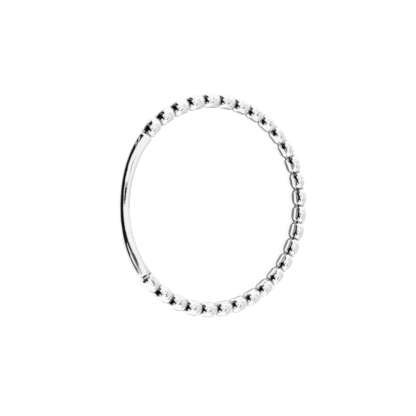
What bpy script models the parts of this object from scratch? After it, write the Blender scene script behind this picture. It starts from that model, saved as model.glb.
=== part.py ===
"""A polished silver band ring in Blender 4.5, in metres, +Z up.

The ring lies on its side, with its axis along +Z and its lowest beads on the plane z = 0. It is one piece of
metal: a string of fused, egg-shaped beads, and a smooth plain stretch at -X that closes the circle. The plain
stretch is oval in section and swells from its middle towards the beads. The inside is polished to one round
finger hole, which leaves a small flat on every bead and along the plain stretch.

Thickness is measured from the finger outwards, and width along the finger.
"""

import math

import bmesh
import bpy

# Driving dimensions: lengths in metres, angles in degrees.
FINGER_HOLE_DIAMETER = 0.01730
BEAD_COUNT = 28
BEAD_THICKNESS = 0.00153
BEAD_WIDTH = 0.00150
BEAD_NECK_THICKNESS = 0.00100
BEAD_NECK_WIDTH = 0.00080
PLAIN_ARC = 80.0
PLAIN_MIDDLE_THICKNESS = 0.00108
PLAIN_MIDDLE_WIDTH = 0.00096
PLAIN_END_THICKNESS = 0.00132
PLAIN_END_WIDTH = 0.00110
PLAIN_GROOVE_THICKNESS = 0.00080
PLAIN_GROOVE_WIDTH = 0.00070
PLAIN_END_LENGTH = 0.00040
INSIDE_POLISH_DEPTH = 0.00015

# Fineness of the faceted solid.
SECTION_SIDES = 16
BEAD_END_STEPS = 3
PLAIN_END_STEPS = 2
PLAIN_STEP_ANGLE = 5.0
HOLE_SIDES = 72

COLLECTION_NAME = "beaded_band_ring"
NODE_NAME = "beaded_band"
SILVER_COLOUR = (0.93, 0.92, 0.90, 1.0)
SILVER_ROUGHNESS = 0.09

# What follows from them.
HOLE_RADIUS = FINGER_HOLE_DIAMETER / 2
BEAD_ARC = (360.0 - PLAIN_ARC) / BEAD_COUNT
PLAIN_CENTRE_ANGLE = 180.0
MID_HEIGHT = BEAD_WIDTH / 2
BEAD_SIZE = (BEAD_THICKNESS, BEAD_WIDTH)
BEAD_NECK = (BEAD_NECK_THICKNESS, BEAD_NECK_WIDTH)
PLAIN_MIDDLE = (PLAIN_MIDDLE_THICKNESS, PLAIN_MIDDLE_WIDTH)
PLAIN_END = (PLAIN_END_THICKNESS, PLAIN_END_WIDTH)
PLAIN_GROOVE = (PLAIN_GROOVE_THICKNESS, PLAIN_GROOVE_WIDTH)


def clear_scene():
    for old in list(bpy.data.objects):
        bpy.data.objects.remove(old, do_unlink=True)


def new_collection(name):
    collection = bpy.data.collections.new(name)
    bpy.context.scene.collection.children.link(collection)
    return collection


def centre_radius(thickness):
    """The radius of the circle through a stretch's section centres, so that all stretches share one inside."""
    return HOLE_RADIUS - INSIDE_POLISH_DEPTH + thickness / 2


def round_end(size, neck, length, steps):
    """Sections of an elliptical end, from the neck towards the full size.

    Each is (distance from the neck, thickness, width). The last one lies half a step short of the full size, and
    the sizes are raised so that the facets touch the ellipse there instead of cutting its corners.
    """
    neck_angle = math.acos(neck[0] / size[0])
    half_step = neck_angle / (2 * steps + 1)
    sections = []
    for step in range(1, steps + 1):
        angle = neck_angle - 2 * half_step * step
        distance = length * (1 - math.sin(angle) / math.sin(neck_angle))
        raised = math.cos(angle) / math.cos(half_step)
        # The width follows the thickness from its own neck to its own full size.
        share = (raised - neck[0] / size[0]) / (1 - neck[0] / size[0])
        width = neck[1] + (size[1] - neck[1]) * share
        sections.append((distance, size[0] * raised, width))
    return sections


def rounded_stretch(start, arc, size, necks, end_length, steps):
    """Sections of the two round ends of a stretch between its grooves: (angle, thickness, width, centre)."""
    centre = centre_radius(size[0])
    to_angle = math.degrees(1 / centre)
    sections = []
    for distance, thickness, width in round_end(size, necks[0], end_length, steps):
        sections.append((start + distance * to_angle, thickness, width, centre))
    for distance, thickness, width in reversed(round_end(size, necks[1], end_length, steps)):
        sections.append((start + arc - distance * to_angle, thickness, width, centre))
    return sections


def bead(index):
    """Sections of one bead. The first and the last bead end in the grooves beside the plain stretch."""
    start = PLAIN_CENTRE_ANGLE + PLAIN_ARC / 2 + index * BEAD_ARC
    half_length = math.radians(BEAD_ARC / 2) * centre_radius(BEAD_THICKNESS)
    first_neck = PLAIN_GROOVE if index == 0 else BEAD_NECK
    last_neck = PLAIN_GROOVE if index == BEAD_COUNT - 1 else BEAD_NECK
    return rounded_stretch(start, BEAD_ARC, BEAD_SIZE, (first_neck, last_neck), half_length, BEAD_END_STEPS)


def plain_size(angle):
    """(thickness, width) of the plain stretch: smoothly growing from its middle towards its ends."""
    share = min(1.0, abs(angle - PLAIN_CENTRE_ANGLE) / (PLAIN_ARC / 2))
    swell = share * share * (3 - 2 * share)
    return [middle + (end - middle) * swell for middle, end in zip(PLAIN_MIDDLE, PLAIN_END)]


def plain_stretch():
    """Sections of the plain stretch, with even steps between its round ends."""
    start = PLAIN_CENTRE_ANGLE - PLAIN_ARC / 2
    necks = (PLAIN_GROOVE, PLAIN_GROOVE)
    ends = rounded_stretch(start, PLAIN_ARC, PLAIN_END, necks, PLAIN_END_LENGTH, PLAIN_END_STEPS)
    before, after = ends[:PLAIN_END_STEPS], ends[PLAIN_END_STEPS:]
    first, last = before[-1][0], after[0][0]
    steps = max(2, round((last - first) / PLAIN_STEP_ANGLE))
    middle = []
    for step in range(1, steps):
        angle = first + (last - first) * step / steps
        thickness, width = plain_size(angle)
        middle.append((angle, thickness, width, centre_radius(thickness)))
    return before + middle + after


def groove(angle, neck, thicknesses):
    """The one section at the bottom of a groove, midway between its neighbours' centre circles."""
    centre = sum(centre_radius(thickness) for thickness in thicknesses) / len(thicknesses)
    return (angle, neck[0], neck[1], centre)


def ring_sections():
    """All sections once round the ring, from the groove where the plain stretch begins."""
    plain_start = PLAIN_CENTRE_ANGLE - PLAIN_ARC / 2
    unlike = (PLAIN_END_THICKNESS, BEAD_THICKNESS)
    sections = [groove(plain_start, PLAIN_GROOVE, unlike)]
    sections += plain_stretch()
    sections.append(groove(plain_start + PLAIN_ARC, PLAIN_GROOVE, unlike))
    for index in range(BEAD_COUNT):
        sections += bead(index)
        if index < BEAD_COUNT - 1:
            groove_angle = plain_start + PLAIN_ARC + (index + 1) * BEAD_ARC
            sections.append(groove(groove_angle, BEAD_NECK, (BEAD_THICKNESS,)))
    return sections


def silver_material():
    material = bpy.data.materials.new("polished_silver")
    material.use_nodes = True
    shader = material.node_tree.nodes["Principled BSDF"]
    shader.inputs["Base Color"].default_value = SILVER_COLOUR
    shader.inputs["Metallic"].default_value = 1.0
    shader.inputs["Roughness"].default_value = SILVER_ROUGHNESS
    material.diffuse_color = SILVER_COLOUR
    return material


def section_points(thickness, width, centre):
    """(distance from the ring's axis, height) of one section's corners.

    Its flats, not its corners, touch the oval, and one of them faces straight down.
    """
    half_side = math.pi / SECTION_SIDES
    points = []
    for side in range(SECTION_SIDES):
        turn = half_side * (2 * side + 1)
        outward = thickness / 2 * math.cos(turn) / math.cos(half_side)
        upward = width / 2 * math.sin(turn) / math.cos(half_side)
        points.append((centre + outward, MID_HEIGHT + upward))
    return points


def beaded_wire(collection):
    """The closed wire, lofted through all sections, before the finger hole is cut through it."""
    shape = bmesh.new()
    rows = []
    for angle, thickness, width, centre in ring_sections():
        turn = math.radians(angle)
        row = []
        for distance, height in section_points(thickness, width, centre):
            row.append(shape.verts.new((distance * math.cos(turn), distance * math.sin(turn), height)))
        rows.append(row)
    for row, following in zip(rows, rows[1:] + rows[:1]):
        for side in range(SECTION_SIDES):
            beside = (side + 1) % SECTION_SIDES
            shape.faces.new((row[side], following[side], following[beside], row[beside]))
    bmesh.ops.recalc_face_normals(shape, faces=shape.faces)
    mesh = bpy.data.meshes.new(NODE_NAME)
    shape.to_mesh(mesh)
    shape.free()
    wire = bpy.data.objects.new(NODE_NAME, mesh)
    collection.objects.link(wire)
    return wire


def finger_hole(collection):
    """The cutter of the finger hole. Its flats lie on the hole's true radius."""
    bpy.ops.mesh.primitive_cylinder_add(
        vertices=HOLE_SIDES,
        radius=HOLE_RADIUS / math.cos(math.pi / HOLE_SIDES),
        depth=3 * BEAD_WIDTH,
        location=(0.0, 0.0, MID_HEIGHT),
        rotation=(0.0, 0.0, math.pi / HOLE_SIDES),
    )
    cutter = bpy.context.active_object
    cutter.name = "finger_hole_cutter"
    for owner in list(cutter.users_collection):
        owner.objects.unlink(cutter)
    collection.objects.link(cutter)
    cutter.display_type = "WIRE"
    cutter.hide_render = True
    return cutter


def main():
    clear_scene()
    parts = new_collection(COLLECTION_NAME)
    cutters = new_collection("cutters")
    ring = beaded_wire(parts)
    ring.data.materials.append(silver_material())
    cut = ring.modifiers.new("finger_hole", "BOOLEAN")
    cut.operation = "DIFFERENCE"
    cut.solver = "EXACT"
    cut.object = finger_hole(cutters)
    ring.data.shade_smooth()
    ring.data.set_sharp_from_angle(angle=math.radians(50))


main()
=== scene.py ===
"""The looks of a polished silver band ring: a string of fused beads, closed by a smooth plain stretch.

The ring lies on its side on a pale floor, in a white studio with black flags that only its mirror polish
shows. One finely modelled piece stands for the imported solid. The ring's own sizes are in millimetres and
degrees, and everything else is in metres unless a comment says so.
"""

import math

import bpy
import numpy as np
from mathutils import Matrix, Vector


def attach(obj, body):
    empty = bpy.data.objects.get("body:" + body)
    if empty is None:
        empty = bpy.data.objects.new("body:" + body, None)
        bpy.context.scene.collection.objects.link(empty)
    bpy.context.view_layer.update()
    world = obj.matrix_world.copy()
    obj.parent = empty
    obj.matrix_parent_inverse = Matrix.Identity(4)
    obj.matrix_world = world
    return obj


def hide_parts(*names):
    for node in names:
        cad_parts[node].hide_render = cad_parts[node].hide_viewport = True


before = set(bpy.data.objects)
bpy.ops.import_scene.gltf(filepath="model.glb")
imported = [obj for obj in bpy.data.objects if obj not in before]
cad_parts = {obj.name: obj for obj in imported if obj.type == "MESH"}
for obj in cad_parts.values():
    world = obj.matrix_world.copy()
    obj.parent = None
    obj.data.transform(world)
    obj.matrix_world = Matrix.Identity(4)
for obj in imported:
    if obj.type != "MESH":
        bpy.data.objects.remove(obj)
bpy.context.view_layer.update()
NODE = "beaded_band"
BODY = "root"
PIECE = "silver_beaded_band"
MM = 0.001

# The ring's own sizes, as its source has them, and how far the whole ring is turned about its axis.
HOLE_RADIUS = 8.65
MID_HEIGHT = 0.75
BEAD_COUNT = 28
BEAD_ARC = 10.0
BEAD_CENTRE_RADIUS = 9.265
PLAIN_ARC = 80.0
PLAIN_MIDDLE_ANGLE = 180.0
RING_TURN = -0.25

# A bead: its half thickness outwards and inwards, its half width, and the share of each that is lost in a
# groove, as (above, below) where it differs. A higher power keeps the bead full for longer before it falls.
BEAD_HALF_THICKNESS = (0.755, 0.700)
BEAD_HALF_WIDTH = 0.742
BEAD_FALL_OUTSIDE = 0.31
BEAD_FALL_INSIDE = (0.43, 0.37)
BEAD_FALL_FLANKS = (0.47, 0.42)
BEAD_FALL_POWER = 2.6
BEAD_SQUARENESS = 2.0

# How unlike the beads are: the largest loss of size as a share, and the largest tilt either way in degrees.
BEAD_BULK_SPREAD = 0.020
BEAD_TILT_SPREAD = 5.0
BEAD_SEED = 7

# The joint where the first bead meets the plain stretch: how many degrees further along it lies, and the
# higher power that makes the bead end bluntly there.
JOINT_SHIFT = 0.3
JOINT_END_POWER = 9.0

# The plain stretch, each pair as (middle, ends): half sizes, how far its inside is polished off, and its
# lean. It is lifted a little between its ends, which are domes over PLAIN_END_ARC degrees, down to the share
# PLAIN_END_NECK of the full size.
PLAIN_HALF_THICKNESS = (0.520, 0.650)
PLAIN_HALF_WIDTH = (0.455, 0.550)
PLAIN_CUT = (0.10, 0.12)
PLAIN_LEAN = (-11.6, -25.5)
PLAIN_LIFT = 0.06
PLAIN_SQUARENESS = 2.5
PLAIN_END_ARC = 2.6
PLAIN_END_NECK = 0.62

# The inside is round along the finger hole and slightly crowned across it, and its edges are rounded.
INSIDE_CROWN = 0.55
POLISHED_EDGE_RADIUS = 0.05

# Fineness of the visible surface. Stations crowd towards the grooves, where the surface turns fastest.
STATIONS_PER_BEAD = 26
BEAD_CROWDING = 0.09
PLAIN_STATIONS = 170
PLAIN_CROWDING = 0.10
SECTION_POINTS = 72

# The rows of a stretch's stations. The inside's upper half and lower half have rows of their own, and blend
# into each other where the sine of the angle round the section is within INSIDE_BLEND of 0.
ANGLE, OUTWARDS, INWARDS_ABOVE, INWARDS_BELOW, UPWARDS, DOWNWARDS, CENTRE_RADIUS = range(7)
INSIDE_BLEND = 0.3

# Tarnish and painted shade in the grooves: a dark colour that stands both for the tarnish there and for the
# shade that falls in them. Its half width, and how strong it is outside at the joints and, as (outside,
# inside), between the beads. It grows towards the inside along two ramps, measured outwards from the beads'
# centre circle.
# A joint's tarnish and painted shade reach JOINT_REACH degrees either way.
TARNISH_AND_SHADE_WIDTH = 0.065
JOINT_TARNISH_AND_SHADE = 0.15
GROOVE_TARNISH_AND_SHADE = (0.55, 0.85)
JOINT_REACH = BEAD_ARC / 4
GROOVE_TARNISH_AND_SHADE_RAMP = (-0.10, 0.20)
JOINT_TARNISH_AND_SHADE_RAMP = (-0.40, -0.15)

# The metal: its colours, and the noises that vary it, each as (scale, detail). One breaks up the tarnish and
# the painted groove shade, one varies the polish, and one is the soft waves that hand polishing leaves. A
# noise's range is stretched to the strengths or the roughnesses named below it.
SILVER_COLOUR = (0.955, 0.95, 0.94, 1)
# The dark colour of the groove tarnish, which also paints the shade in the grooves.
TARNISH_AND_SHADE_COLOUR = (0.055, 0.05, 0.045, 1)
TARNISH_ROUGHNESS = 0.35
TARNISH_AND_SHADE_NOISE = (1400.0, 2.0)
TARNISH_AND_SHADE_NOISE_RANGE = (0.30, 0.55)
TARNISH_AND_SHADE_STRENGTH = (0.35, 1.0)
POLISH_NOISE = (2600.0, 3.0)
POLISH_NOISE_RANGE = (0.3, 0.7)
POLISH_ROUGHNESS = (0.035, 0.085)
WAVE_NOISE = (2200.0, 2.0)
WAVE_HEIGHT = 0.000012
WAVE_STRENGTH = 0.5

# The photograph's view of the ring: how far the camera stands off the ring's axis, its distance, and its
# framing in pixels of a square picture. The sensor's width is in millimetres.
VIEW_YAW = math.radians(31.93)
VIEW_PITCH = math.radians(1.03)
VIEWED_RADIUS = 9.282 * MM
DISTANCE_IN_RADII = 8.0
PIXELS_PER_RADIUS = 103.98
RING_CENTRE_PIXEL = (216.61, 205.26)
FRAME_PIXELS = 416.0
SENSOR_WIDTH = 36.0
CLIP_DISTANCES = (0.001, 20.0)

# The white studio and its pale floor, which glows a little so that it has no grey cast.
STUDIO_STRENGTH = 1.0
FLOOR_SIZE = 6.0
FLOOR_COLOUR = (0.30, 0.30, 0.30, 1)
FLOOR_ROUGHNESS = 0.9
FLOOR_GLOW = 0.80

# The black flags: azimuths and elevations in degrees, how dark each is, and how wide its soft edge is in
# degrees.
FLAG_PATCHES = (
    ((105, 217), (-3, 31), 1.0, 5),
    ((122, 192), (-20, 0), 0.75, 6),
    ((186, 214), (-14, 0), 0.60, 6),
    ((96, 124), (-20, -4), 0.40, 8),
    ((108, 162), (25, 44), 0.95, 4),
    ((151, 219), (24, 51), 1.0, 4),
    ((162, 219), (44, 60), 0.95, 4),
    ((174, 224), (50, 64), 0.85, 5),
    ((206, 244), (57, 68), 0.75, 5),
    ((214, 235), (-8, 29), 0.88, 5),
    ((222, 243), (46, 66), 0.80, 5),
    ((230, 246), (26, 54), 0.35, 6),
    ((278, 352), (-48, -28), 0.50, 8),
    ((205, 262), (-66, -50), 0.30, 6),
    ((300, 372), (6, 40), 0.20, 12),
    ((298, 372), (3, 20), 0.28, 10),
    ((-12, 28), (0, 56), 0.13, 12),
    ((312, 372), (42, 70), 0.10, 14),
    ((-5, 365), (48, 95), 0.07, 14),
    ((154, 182), (75, 84), 1.0, 2.5),
    ((146, 182), (82, 89.5), 1.0, 2),
    ((163, 182), (69, 78), 1.0, 2.5),
    ((44, 60), (38, 47), 0.45, 5),
    ((306, 336), (48, 57), 0.40, 5),
    ((322, 360), (59, 66), 0.20, 4),
    ((318, 346), (60, 67), 0.75, 3),
    ((300, 312), (47, 66), 0.70, 3),
    ((12, 26), (40, 50), 0.55, 3),
    ((284, 298), (49, 58), 0.55, 3),
    ((30, 46), (52, 60), 0.45, 4),
    ((122, 135), (70, 86), 0.45, 3),
    ((345, 364), (30, 60), 0.10, 8),
)
# Gaps between the flags, in the same columns, with how much light each lets through in place of darkness.
FLAG_OPENINGS = (
    ((211, 222), (34, 46), 0.95, 4),
    ((126.7, 128.2), (-10, 50), 1.0, 1.0),
    ((132.4, 133.6), (-10, 34), 0.9, 1.0),
)
FLAG_COLOUR = (0.004, 0.004, 0.004, 1)
FLAG_RADIUS = 1.2
FLAG_STEP = 0.75
FLAG_ELEVATIONS = (-88.5, 90.0)
LEAST_DARKNESS = 0.005

# The shade just over the floor inside the beads, in millimetres and degrees: its radii, soft edge, height,
# reach either side of +X, and how dark it is at most and, as a share of that, at least.
SHADE_RADII = (7.7, 9.35)
SHADE_EDGE = 0.5
SHADE_HEIGHT = 0.01
SHADE_REACH = 145.0
SHADE_DARKNESS = 0.80
SHADE_LEAST = 0.35
SHADE_STEPS = (12, 146)


def smooth_step(low, high, value):
    """0 up to low, 1 from high on, and a smooth rise between them."""
    share = np.clip((value - low) / (high - low), 0.0, 1.0)
    return share * share * (3 - 2 * share)


def crowded_shares(count, crowding):
    """Shares from 0 up to 1 along a stretch, closer together at both of its ends."""
    even = np.arange(count) / count
    return even - crowding * np.sin(2 * math.pi * even)


def bead_stations():
    """The beads' stations, with the turn and the lift of the section at each."""
    dice = np.random.default_rng(BEAD_SEED)
    share = crowded_shares(STATIONS_PER_BEAD, BEAD_CROWDING)
    outwards, inwards = BEAD_HALF_THICKNESS
    beads = []
    for index in range(BEAD_COUNT):
        at_joint = (index == 0) * (share < 0.5)
        fall = np.abs(2 * share - 1) ** np.where(at_joint, JOINT_END_POWER, BEAD_FALL_POWER)
        bulk = 1 - dice.uniform(0.0, BEAD_BULK_SPREAD)
        tilt = math.radians(dice.uniform(-BEAD_TILT_SPREAD, BEAD_TILT_SPREAD))
        start = PLAIN_MIDDLE_ANGLE + PLAIN_ARC / 2 + index * BEAD_ARC + RING_TURN
        shift = JOINT_SHIFT if index == 0 else 0.0
        beads.append(np.stack([
            start + shift + share * (BEAD_ARC - shift),
            outwards * bulk * (1 - BEAD_FALL_OUTSIDE * fall),
            inwards * bulk * (1 - BEAD_FALL_INSIDE[0] * fall),
            inwards * bulk * (1 - BEAD_FALL_INSIDE[1] * fall),
            BEAD_HALF_WIDTH * bulk * (1 - BEAD_FALL_FLANKS[0] * fall),
            BEAD_HALF_WIDTH * bulk * (1 - BEAD_FALL_FLANKS[1] * fall),
            np.full(STATIONS_PER_BEAD, BEAD_CENTRE_RADIUS),
            tilt * (1 - fall),
        ]))
    *stations, turn = np.concatenate(beads, axis=1)
    return np.stack(stations), turn, np.zeros_like(turn)


def plain_stations():
    """The same for the plain stretch, which has domed ends."""
    share = crowded_shares(PLAIN_STATIONS, PLAIN_CROWDING)
    angle = PLAIN_MIDDLE_ANGLE - PLAIN_ARC / 2 + share * PLAIN_ARC + RING_TURN + JOINT_SHIFT * share**3
    along = np.abs(2 * share - 1)
    swell = smooth_step(0.0, 1.0, along)
    thickness, width, cut = (
        middle + (end - middle) * swell for middle, end in (PLAIN_HALF_THICKNESS, PLAIN_HALF_WIDTH, PLAIN_CUT)
    )
    lean = PLAIN_LEAN[0] + (PLAIN_LEAN[1] - PLAIN_LEAN[0]) * along
    in_dome = np.clip(1 - (1 - along) * PLAIN_ARC / 2 / PLAIN_END_ARC, 0, 1)
    dome = np.sqrt(1 - in_dome**2 * (1 - PLAIN_END_NECK**2))
    sizes = [thickness * dome] * 3 + [width * dome] * 2
    centre = HOLE_RADIUS - cut + thickness
    return np.stack([angle, *sizes, centre]), np.radians(lean), PLAIN_LIFT * (1 - in_dome**2)


def oval(stations, squareness):
    """(outward, upward) offsets of every station's section; a squareness above 2 flattens the sides."""
    around = np.arange(SECTION_POINTS) / SECTION_POINTS * 2 * math.pi
    across = np.sign(np.cos(around)) * np.abs(np.cos(around)) ** (2 / squareness)
    rise = np.sign(np.sin(around)) * np.abs(np.sin(around)) ** (2 / squareness)
    half = stations[:, :, None]
    below = smooth_step(-INSIDE_BLEND, INSIDE_BLEND, -np.sin(around))
    inwards = half[INWARDS_ABOVE] * (1 - below) + half[INWARDS_BELOW] * below
    outward = np.where(np.cos(around) > 0, half[OUTWARDS], inwards) * across
    upward = np.where(np.sin(around) > 0, half[UPWARDS], half[DOWNWARDS]) * rise
    return outward, upward


def sections(stations, turn, lift, squareness):
    """(distance from the ring's axis, height) of every point of a stretch, before the inside is polished."""
    outward, upward = oval(stations, squareness)
    turn, lift = turn[:, None], lift[:, None]
    radial = stations[CENTRE_RADIUS][:, None] + outward * np.cos(turn) - upward * np.sin(turn)
    height = MID_HEIGHT + outward * np.sin(turn) + upward * np.cos(turn) + lift
    return radial, height


def soft_floor(value, floor, radius):
    """The larger of value and floor, with the corner between them rounded."""
    gap = value - floor
    return floor + (gap + np.sqrt(gap**2 + radius**2)) / 2 - radius / 2 * np.exp(-np.abs(gap) / radius)


def groove_angles():
    """Where the grooves lie: first both ends of the plain stretch, and then those after each bead."""
    first = PLAIN_MIDDLE_ANGLE + PLAIN_ARC / 2 + RING_TURN
    after_beads = first + BEAD_ARC * np.arange(1, BEAD_COUNT + 1)
    return np.concatenate([[first - PLAIN_ARC, first + JOINT_SHIFT], after_beads])


def tarnish_and_shade(angles, radial):
    """How dark each point is made: tarnish in the groove bottoms, where a polishing cloth doesn't reach, and
    painted shade there.
    """
    apart = np.abs(np.degrees(angles) - groove_angles())
    distance = np.radians(apart.min(axis=1, keepdims=True)) * BEAD_CENTRE_RADIUS
    at_joint = apart[:, :2].min(axis=1, keepdims=True) < JOINT_REACH
    offset = radial - BEAD_CENTRE_RADIUS
    outside, inside = GROOVE_TARNISH_AND_SHADE
    between_beads = inside + (outside - inside) * smooth_step(*GROOVE_TARNISH_AND_SHADE_RAMP, offset)
    at_joints = inside + (JOINT_TARNISH_AND_SHADE - inside) * smooth_step(*JOINT_TARNISH_AND_SHADE_RAMP, offset)
    # Painted shade in the grooves, together with the tarnish there.
    stain_and_shade = np.exp(-(distance / TARNISH_AND_SHADE_WIDTH) ** 2) * np.where(at_joint, at_joints, between_beads)
    return stain_and_shade.astype(np.float32).reshape(-1)


def closed_quads(rows, columns):
    """Faces of a surface that closes on itself both ways."""
    index = np.arange(rows * columns).reshape(rows, columns)
    ahead = np.roll(index, -1, axis=0)
    beside = [np.roll(ahead, -1, axis=1), np.roll(index, -1, axis=1)]
    return np.stack([index, ahead, *beside], axis=2).reshape(-1, 4)


def new_piece(name, points, quads, attribute, values):
    """A mesh object from a grid of points, with one number at each point."""
    mesh = bpy.data.meshes.new(name)
    mesh.from_pydata(points.reshape(-1, 3).tolist(), [], quads.tolist())
    mesh.attributes.new(attribute, "FLOAT", "POINT").data.foreach_set("value", values)
    mesh.update()
    piece = bpy.data.objects.new(name, mesh)
    bpy.context.scene.collection.objects.link(piece)
    return piece


def round_axis(radius, turn, height):
    """Points at the given radius, turn and height round the ring's axis, which is +Z."""
    return np.stack([radius * np.cos(turn), radius * np.sin(turn), height], axis=2)


def ring_piece():
    """The ring's surface: sections all round the ring, held outside the finger hole."""
    plain, beads = plain_stations(), bead_stations()
    stretches = zip(sections(*plain, PLAIN_SQUARENESS), sections(*beads, BEAD_SQUARENESS))
    radial, height = (np.concatenate(rows) for rows in stretches)
    angles = np.radians(np.concatenate([plain[0][ANGLE], beads[0][ANGLE]]))[:, None]
    inside = HOLE_RADIUS + INSIDE_CROWN * (height - MID_HEIGHT) ** 2
    radial = soft_floor(radial, inside, POLISHED_EDGE_RADIUS)
    points = round_axis(radial, angles, height) * MM
    piece = new_piece(PIECE, points, closed_quads(*radial.shape), "tarnish_and_shade", tarnish_and_shade(angles, radial))
    piece.data.shade_smooth()
    return piece


def silver():
    """Polished silver: faint polishing marks and soft waves, and dark tarnish with painted groove shade where
    a cloth doesn't reach.
    """
    material = bpy.data.materials.new("polished_silver")
    material.use_nodes = True
    nodes, links = material.node_tree.nodes, material.node_tree.links
    shader = nodes["Principled BSDF"]
    shader.inputs["Metallic"].default_value = 1.0
    place = nodes.new("ShaderNodeTexCoord")

    def noise_at(scale, detail):
        texture = nodes.new("ShaderNodeTexNoise")
        texture.inputs["Scale"].default_value = scale
        texture.inputs["Detail"].default_value = detail
        links.new(place.outputs["Object"], texture.inputs["Vector"])
        return texture.outputs["Fac"]

    def scaled(value, source, target):
        ranged = nodes.new("ShaderNodeMapRange")
        for name, number in zip(("From Min", "From Max", "To Min", "To Max"), (*source, *target)):
            ranged.inputs[name].default_value = number
        links.new(value, ranged.inputs["Value"])
        return ranged.outputs["Result"]

    def combined(operation, first, second):
        maths = nodes.new("ShaderNodeMath")
        maths.operation = operation
        links.new(first, maths.inputs[0])
        links.new(second, maths.inputs[1])
        return maths.outputs["Value"]

    # The groove tarnish and painted groove shade, broken up by a noise, darken the colour and dull the
    # polish.
    stain_and_shade = nodes.new("ShaderNodeAttribute")
    stain_and_shade.attribute_name = "tarnish_and_shade"
    unevenness = scaled(noise_at(*TARNISH_AND_SHADE_NOISE), TARNISH_AND_SHADE_NOISE_RANGE, TARNISH_AND_SHADE_STRENGTH)
    patchy = combined("MULTIPLY", stain_and_shade.outputs["Fac"], unevenness)
    colour = nodes.new("ShaderNodeMix")
    colour.data_type = "RGBA"
    colour.inputs["A"].default_value = SILVER_COLOUR
    colour.inputs["B"].default_value = TARNISH_AND_SHADE_COLOUR
    links.new(patchy, colour.inputs["Factor"])
    links.new(colour.outputs["Result"], shader.inputs["Base Color"])
    polish = scaled(noise_at(*POLISH_NOISE), POLISH_NOISE_RANGE, POLISH_ROUGHNESS)
    dullness = scaled(patchy, (0.0, 1.0), (0.0, TARNISH_ROUGHNESS))
    links.new(combined("ADD", polish, dullness), shader.inputs["Roughness"])
    waves = nodes.new("ShaderNodeBump")
    waves.inputs["Strength"].default_value = WAVE_STRENGTH
    waves.inputs["Distance"].default_value = WAVE_HEIGHT
    links.new(noise_at(*WAVE_NOISE), waves.inputs["Height"])
    links.new(waves.outputs["Normal"], shader.inputs["Normal"])
    return material


def floor():
    """A pale floor, which the ring's polish doesn't show."""
    bpy.ops.mesh.primitive_plane_add(size=FLOOR_SIZE, location=(0, 0, 0))
    plane = bpy.context.active_object
    plane.name = "floor"
    material = bpy.data.materials.new("pale_floor")
    material.use_nodes = True
    shader = material.node_tree.nodes["Principled BSDF"]
    shader.inputs["Base Color"].default_value = FLOOR_COLOUR
    shader.inputs["Roughness"].default_value = FLOOR_ROUGHNESS
    shader.inputs["Emission Color"].default_value = (1, 1, 1, 1)
    shader.inputs["Emission Strength"].default_value = FLOOR_GLOW
    plane.data.materials.append(material)
    plane.visible_glossy = False


def camera():
    """The photograph's camera: off the ring's axis towards the plain stretch, rolled so that +Y points up."""
    turn = Matrix.Rotation(VIEW_YAW, 3, "Y") @ Matrix.Rotation(VIEW_PITCH, 3, "X")
    # turn takes the ring's frame to the camera's, so its inverse's columns are the camera's axes.
    axes = turn.transposed()
    centre = Vector((0, 0, MID_HEIGHT * MM))
    distance = DISTANCE_IN_RADII * VIEWED_RADIUS
    data = bpy.data.cameras.new("camera")
    view = bpy.data.objects.new("camera", data)
    bpy.context.scene.collection.objects.link(view)
    view.matrix_world = Matrix.Translation(centre + axes @ Vector((0, 0, distance))) @ axes.to_4x4()
    data.sensor_width = SENSOR_WIDTH
    data.lens = PIXELS_PER_RADIUS * DISTANCE_IN_RADII / FRAME_PIXELS * SENSOR_WIDTH
    data.shift_x = (FRAME_PIXELS / 2 - RING_CENTRE_PIXEL[0]) / FRAME_PIXELS
    data.shift_y = (RING_CENTRE_PIXEL[1] - FRAME_PIXELS / 2) / FRAME_PIXELS
    data.clip_start, data.clip_end = CLIP_DISTANCES
    bpy.context.scene.camera = view


def studio_light():
    """Even white light from all round."""
    dome = bpy.data.worlds.new("studio")
    dome.use_nodes = True
    background = dome.node_tree.nodes["Background"]
    background.inputs["Color"].default_value = (1, 1, 1, 1)
    background.inputs["Strength"].default_value = STUDIO_STRENGTH
    bpy.context.scene.world = dome


def patch_cover(azimuth, elevation, patch):
    """How far a patch covers each direction: its strength well inside it, fading to 0 across its edge."""
    azimuths, elevations, strength, edge = patch
    cover = strength
    for value, (low, high) in ((azimuth, azimuths), (elevation, elevations)):
        cover = cover * smooth_step(low - edge / 2, low + edge / 2, value)
        cover = cover * (1 - smooth_step(high - edge / 2, high + edge / 2, value))
    return cover


def flag_darkness(azimuth, elevation):
    """How dark the flags are in each direction, with their gaps left open."""
    lit = np.ones_like(azimuth)
    for patch in FLAG_PATCHES:
        lit *= 1 - patch_cover(azimuth, elevation, patch)
    for opening in FLAG_OPENINGS:
        lit = np.maximum(lit, patch_cover(azimuth, elevation, opening))
    return 1 - lit


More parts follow.
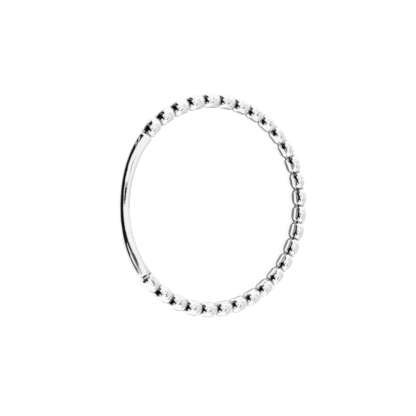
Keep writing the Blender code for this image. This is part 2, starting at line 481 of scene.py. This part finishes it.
def dark_sheet(name, points, quads, darkness):
    """A staged sheet that only mirrors show: black where darkness is 1, and clear where it is 0."""
    sheet = new_piece(name, points, quads, "darkness", darkness.reshape(-1))
    material = bpy.data.materials.new(name)
    material.use_nodes = True
    nodes, links = material.node_tree.nodes, material.node_tree.links
    nodes.remove(nodes["Principled BSDF"])
    cloth = nodes.new("ShaderNodeBsdfDiffuse")
    cloth.inputs["Color"].default_value = FLAG_COLOUR
    gap = nodes.new("ShaderNodeBsdfTransparent")
    thickness = nodes.new("ShaderNodeAttribute")
    thickness.attribute_name = "darkness"
    weave = nodes.new("ShaderNodeMixShader")
    links.new(thickness.outputs["Fac"], weave.inputs["Fac"])
    links.new(gap.outputs["BSDF"], weave.inputs[1])
    links.new(cloth.outputs["BSDF"], weave.inputs[2])
    links.new(weave.outputs["Shader"], nodes["Material Output"].inputs["Surface"])
    sheet.data.materials.append(material)
    sheet.visible_camera = False
    sheet.visible_diffuse = False
    sheet.visible_shadow = False


def grid_quads(rows, columns):
    """Faces of an open grid."""
    index = np.arange(rows * columns).reshape(rows, columns)
    return np.stack([index[:-1, :-1], index[:-1, 1:], index[1:, 1:], index[1:, :-1]], axis=2).reshape(-1, 4)


def black_flags():
    """Shaped black cloth far round the ring, as parts of one sphere."""
    azimuths = np.arange(0.0, 360.0 + FLAG_STEP, FLAG_STEP)
    elevation, azimuth = np.meshgrid(np.arange(*FLAG_ELEVATIONS, FLAG_STEP), azimuths, indexing="ij")
    darkness = flag_darkness(azimuth, elevation)
    tilt = np.radians(elevation)
    points = round_axis(np.cos(tilt), np.radians(azimuth), np.sin(tilt)) * FLAG_RADIUS
    quads = grid_quads(*darkness.shape)
    shown = darkness.reshape(-1)[quads].max(axis=1) > LEAST_DARKNESS
    dark_sheet("black_flag", points, quads[shown], darkness)


def contact_shade():
    """The shade on the floor close inside the beads, which their polished inside mirrors."""
    radii = np.linspace(*SHADE_RADII, SHADE_STEPS[0])
    turns = np.radians(np.linspace(-SHADE_REACH, SHADE_REACH, SHADE_STEPS[1]))
    radius, turn = np.meshgrid(radii, turns, indexing="ij")
    points = round_axis(radius, turn, np.full_like(turn, SHADE_HEIGHT)) * MM
    share = SHADE_LEAST + (1 - SHADE_LEAST) * np.maximum(np.cos(turn), 0)
    fade = smooth_step(SHADE_RADII[0], SHADE_RADII[0] + SHADE_EDGE, radius)
    dark_sheet("contact_shade", points, grid_quads(*radius.shape), SHADE_DARKNESS * fade * share)


bpy.context.scene.view_settings.view_transform = "Standard"
camera()
studio_light()
floor()
black_flags()
contact_shade()
ring = ring_piece()
ring.data.materials.append(silver())
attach(ring, BODY)
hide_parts(NODE)
